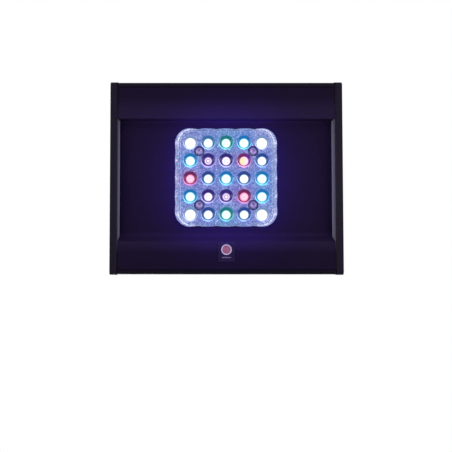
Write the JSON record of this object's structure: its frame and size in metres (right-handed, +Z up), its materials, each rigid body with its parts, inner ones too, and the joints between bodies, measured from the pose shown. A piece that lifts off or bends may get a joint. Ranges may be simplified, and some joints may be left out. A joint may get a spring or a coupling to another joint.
{
  "type": "led aquarium light",
  "caption": "Flat black pendant light with a sunk underside, a square lens block of coloured emitters, thick end caps and a round fan vent on top.",
  "frame": {"origin": "under the middle of the light, on the plane of the end caps' lower faces", "axes": "+X along the extrusions towards the cap with the inlet, +Y from the badge side to the rear, +Z up; the light shines towards -Z"},
  "size_m": [0.2, 0.1668, 0.0345],
  "materials": {
    "black_anodised": "black anodised, fine satin",
    "cap_anodised": "black anodised, satin",
    "clear_lens": "clear moulded acrylic",
    "black_rubber": "matt",
    "white_board": "white solder resist",
    "grey_pad": "matt",
    "raw_aluminium": "bare extruded",
    "black_plastic": "fine moulded grain",
    "stator_copper": "enamelled windings",
    "green_board": "solder resist",
    "lead_black": "smooth sheath",
    "badge_black": "gloss",
    "badge_rose": "satin",
    "bright_screw": "bright zinc",
    "black_screw": "black oxide",
    "led_white": "lit, cool white",
    "led_blue": "lit, sky blue",
    "led_royal": "lit, royal blue",
    "led_violet": "lit, violet",
    "led_green": "lit, green",
    "led_red": "lit, red",
    "led_amber": "lit, amber"
  },
  "bodies": {
    "housing": {"top_cover": "black_anodised", "light_panel": "black_anodised", "vent_grille": "black_anodised", "end_cap_left": "cap_anodised", "end_cap_right": "cap_anodised", "lens_array": "clear_lens", "lens_gasket": "black_rubber", "led_board": "white_board", "thermal_pad": "grey_pad", "heat_sink": "raw_aluminium", "fan_frame": "black_plastic", "fan_stator": "stator_copper", "driver_board": "green_board", "dc_inlet": "black_plastic", "inlet_lead": "lead_black", "fan_lead": "lead_black", "badge_plate": "badge_black", "badge_disc": "badge_rose", "led_1_1": "led_white", "led_1_2": "led_blue", "led_1_3": "led_green", "led_1_4": "led_blue", "led_1_5": "led_white", "led_2_1": "led_blue", "led_2_2": "led_violet", "led_2_3": "led_violet", "led_2_4": "led_amber", "led_2_5": "led_royal", "led_3_1": "led_red", "led_3_2": "led_royal", "led_3_3": "led_blue", "led_3_4": "led_royal", "led_3_5": "led_blue", "led_4_1": "led_blue", "led_4_2": "led_violet", "led_4_3": "led_violet", "led_4_4": "led_red", "led_4_5": "led_blue", "led_5_1": "led_white", "led_5_2": "led_royal", "led_5_3": "led_green", "led_5_4": "led_royal", "led_5_5": "led_white", "lens_screw_1": "bright_screw", "lens_screw_2": "bright_screw", "lens_screw_3": "bright_screw", "lens_screw_4": "bright_screw", "fan_screw_1": "bright_screw", "fan_screw_2": "bright_screw", "fan_screw_3": "bright_screw", "fan_screw_4": "bright_screw", "cap_screw_left_1": "black_screw", "cap_screw_left_2": "black_screw", "cap_screw_left_3": "black_screw", "cap_screw_left_4": "black_screw", "cap_screw_right_1": "black_screw", "cap_screw_right_2": "black_screw", "cap_screw_right_3": "black_screw", "cap_screw_right_4": "black_screw"},
    "rotor": {"fan_rotor": "black_plastic"}
  },
  "joints": [
    {"name": "fan_spin", "type": "hinge", "parent": "housing", "child": "rotor", "pos_m": [0, 0, 0.0257], "axis": [0, 0, 1], "continuous": true}
  ]
}
